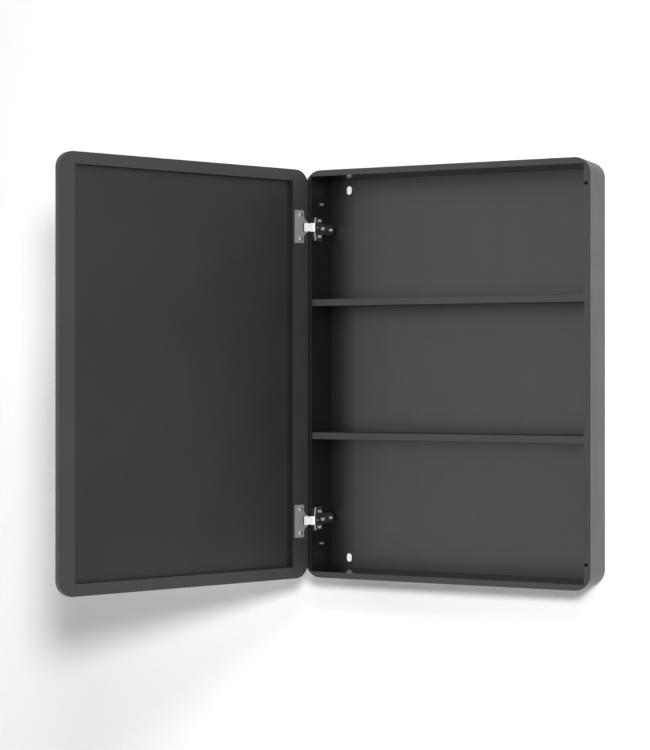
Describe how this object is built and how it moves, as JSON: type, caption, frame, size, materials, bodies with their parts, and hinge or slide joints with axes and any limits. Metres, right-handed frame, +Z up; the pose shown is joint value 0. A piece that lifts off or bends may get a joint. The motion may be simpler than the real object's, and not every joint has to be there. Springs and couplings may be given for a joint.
{
  "type": "medicine cabinet",
  "caption": "Wall-hung steel medicine cabinet with rounded corners, fixed shelves and a recessed-back mirrored door on concealed hinges.",
  "frame": {"origin": "centre of the back face, on the wall", "axes": "+Y into the wall, +Z up, +X to the right seen from the front; the door opens towards -Y"},
  "size_m": [0.7415, 0.5502, 0.711],
  "materials": {
    "charcoal_coat": "fine matte powder coat",
    "galvanised": "dull zinc plate",
    "nickel": "bright nickel plate",
    "screw_steel": "zinc plated",
    "black_rubber": "matte",
    "grey_plastic": "satin",
    "foam": "matte",
    "mirror": "silvered float glass"
  },
  "bodies": {
    "cabinet": {"outer_wrap": "charcoal_coat", "front_flange": "charcoal_coat", "back_panel": "charcoal_coat", "left_liner": "charcoal_coat", "right_liner": "charcoal_coat", "top_liner": "charcoal_coat", "bottom_liner": "charcoal_coat", "upper_shelf": "charcoal_coat", "lower_shelf": "charcoal_coat", "shelf_rivets": "screw_steel", "side_hole_plugs": "grey_plastic", "upper_bumper": "black_rubber", "lower_bumper": "black_rubber", "upper_mounting_plate": "galvanised", "upper_plate_screws": "screw_steel", "upper_hinge_arm": "nickel", "upper_set_screw": "screw_steel", "upper_centre_screw": "screw_steel", "upper_tail_screw": "screw_steel", "lower_mounting_plate": "galvanised", "lower_plate_screws": "screw_steel", "lower_hinge_arm": "nickel", "lower_set_screw": "screw_steel", "lower_centre_screw": "screw_steel", "lower_tail_screw": "screw_steel"},
    "door": {"door_frame": "charcoal_coat", "door_back_panel": "charcoal_coat", "mirror_pad": "foam", "mirror_glass": "mirror", "upper_hinge_cup": "galvanised", "upper_hinge_pin": "screw_steel", "upper_closing_spring": "screw_steel", "upper_cup_screws": "screw_steel", "lower_hinge_cup": "galvanised", "lower_hinge_pin": "screw_steel", "lower_closing_spring": "screw_steel", "lower_cup_screws": "screw_steel"}
  },
  "joints": [
    {"name": "door_swing", "type": "hinge", "parent": "cabinet", "child": "door", "pos_m": [-0.2511, -0.0984, 0], "axis": [0, 0, 1], "range_deg": [0, 117]}
  ]
}
